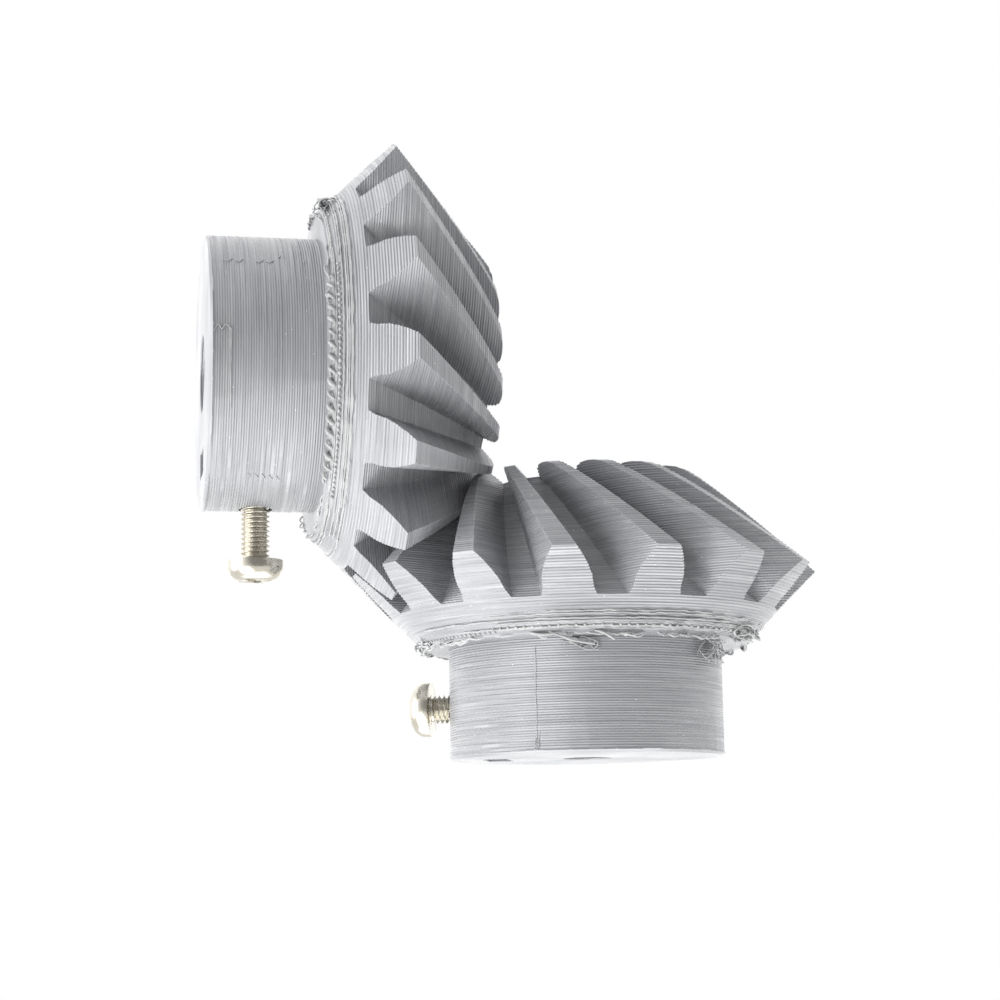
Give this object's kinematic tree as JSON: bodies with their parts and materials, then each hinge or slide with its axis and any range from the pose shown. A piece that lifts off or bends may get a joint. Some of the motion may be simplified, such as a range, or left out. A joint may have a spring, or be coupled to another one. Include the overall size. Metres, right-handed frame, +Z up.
{
  "type": "bevel gear pair",
  "caption": "Pair of spiral bevel gears that turn a drive through a right angle, each clamped to its shaft by a set screw and a nut trapped in its hub.",
  "frame": {"origin": "centre of the mouth of the upright (drive) gear's bore, on its hub end face", "axes": "+Z up along the drive gear's axis towards its teeth; the driven gear's axis runs along X, 39.6 mm above the origin, with its hub towards -X"},
  "size_m": [0.0635, 0.0484, 0.0638],
  "materials": {
    "printed_plastic": "printed in 0.25 mm layers, silky light grey",
    "nickel_plated_steel": "bright nickel plate",
    "zinc_plated_steel": "zinc plate",
    "ground_steel": "ground"
  },
  "bodies": {
    "centre_pins": {"drive_centre_pin": "ground_steel", "driven_centre_pin": "ground_steel"},
    "drive_gear": {"drive_gear": "printed_plastic", "drive_nut": "zinc_plated_steel"},
    "driven_gear": {"driven_gear": "printed_plastic", "driven_nut": "zinc_plated_steel"},
    "drive_set_screw": {"drive_set_screw": "nickel_plated_steel"},
    "driven_set_screw": {"driven_set_screw": "nickel_plated_steel"}
  },
  "joints": [
    {"name": "drive_spin", "type": "hinge", "parent": "centre_pins", "child": "drive_gear", "pos_m": [0, 0, 0.0396], "axis": [0, 0, 1], "continuous": true},
    {"name": "driven_spin", "type": "hinge", "parent": "centre_pins", "child": "driven_gear", "pos_m": [0, 0, 0.0396], "axis": [1, 0, 0], "continuous": true},
    {"name": "drive_screw_travel", "type": "slide", "parent": "drive_gear", "child": "drive_set_screw", "axis": [0.9397, -0.342, 0], "range_m": [-0.0058, 0.0017]},
    {"name": "driven_screw_travel", "type": "slide", "parent": "driven_gear", "child": "driven_set_screw", "axis": [0, 0, 1], "range_m": [-0.0027, 0.0033]}
  ],
  "couplings": [
    {"joint": "driven_spin", "follows": "drive_spin", "ratio": -1}
  ]
}
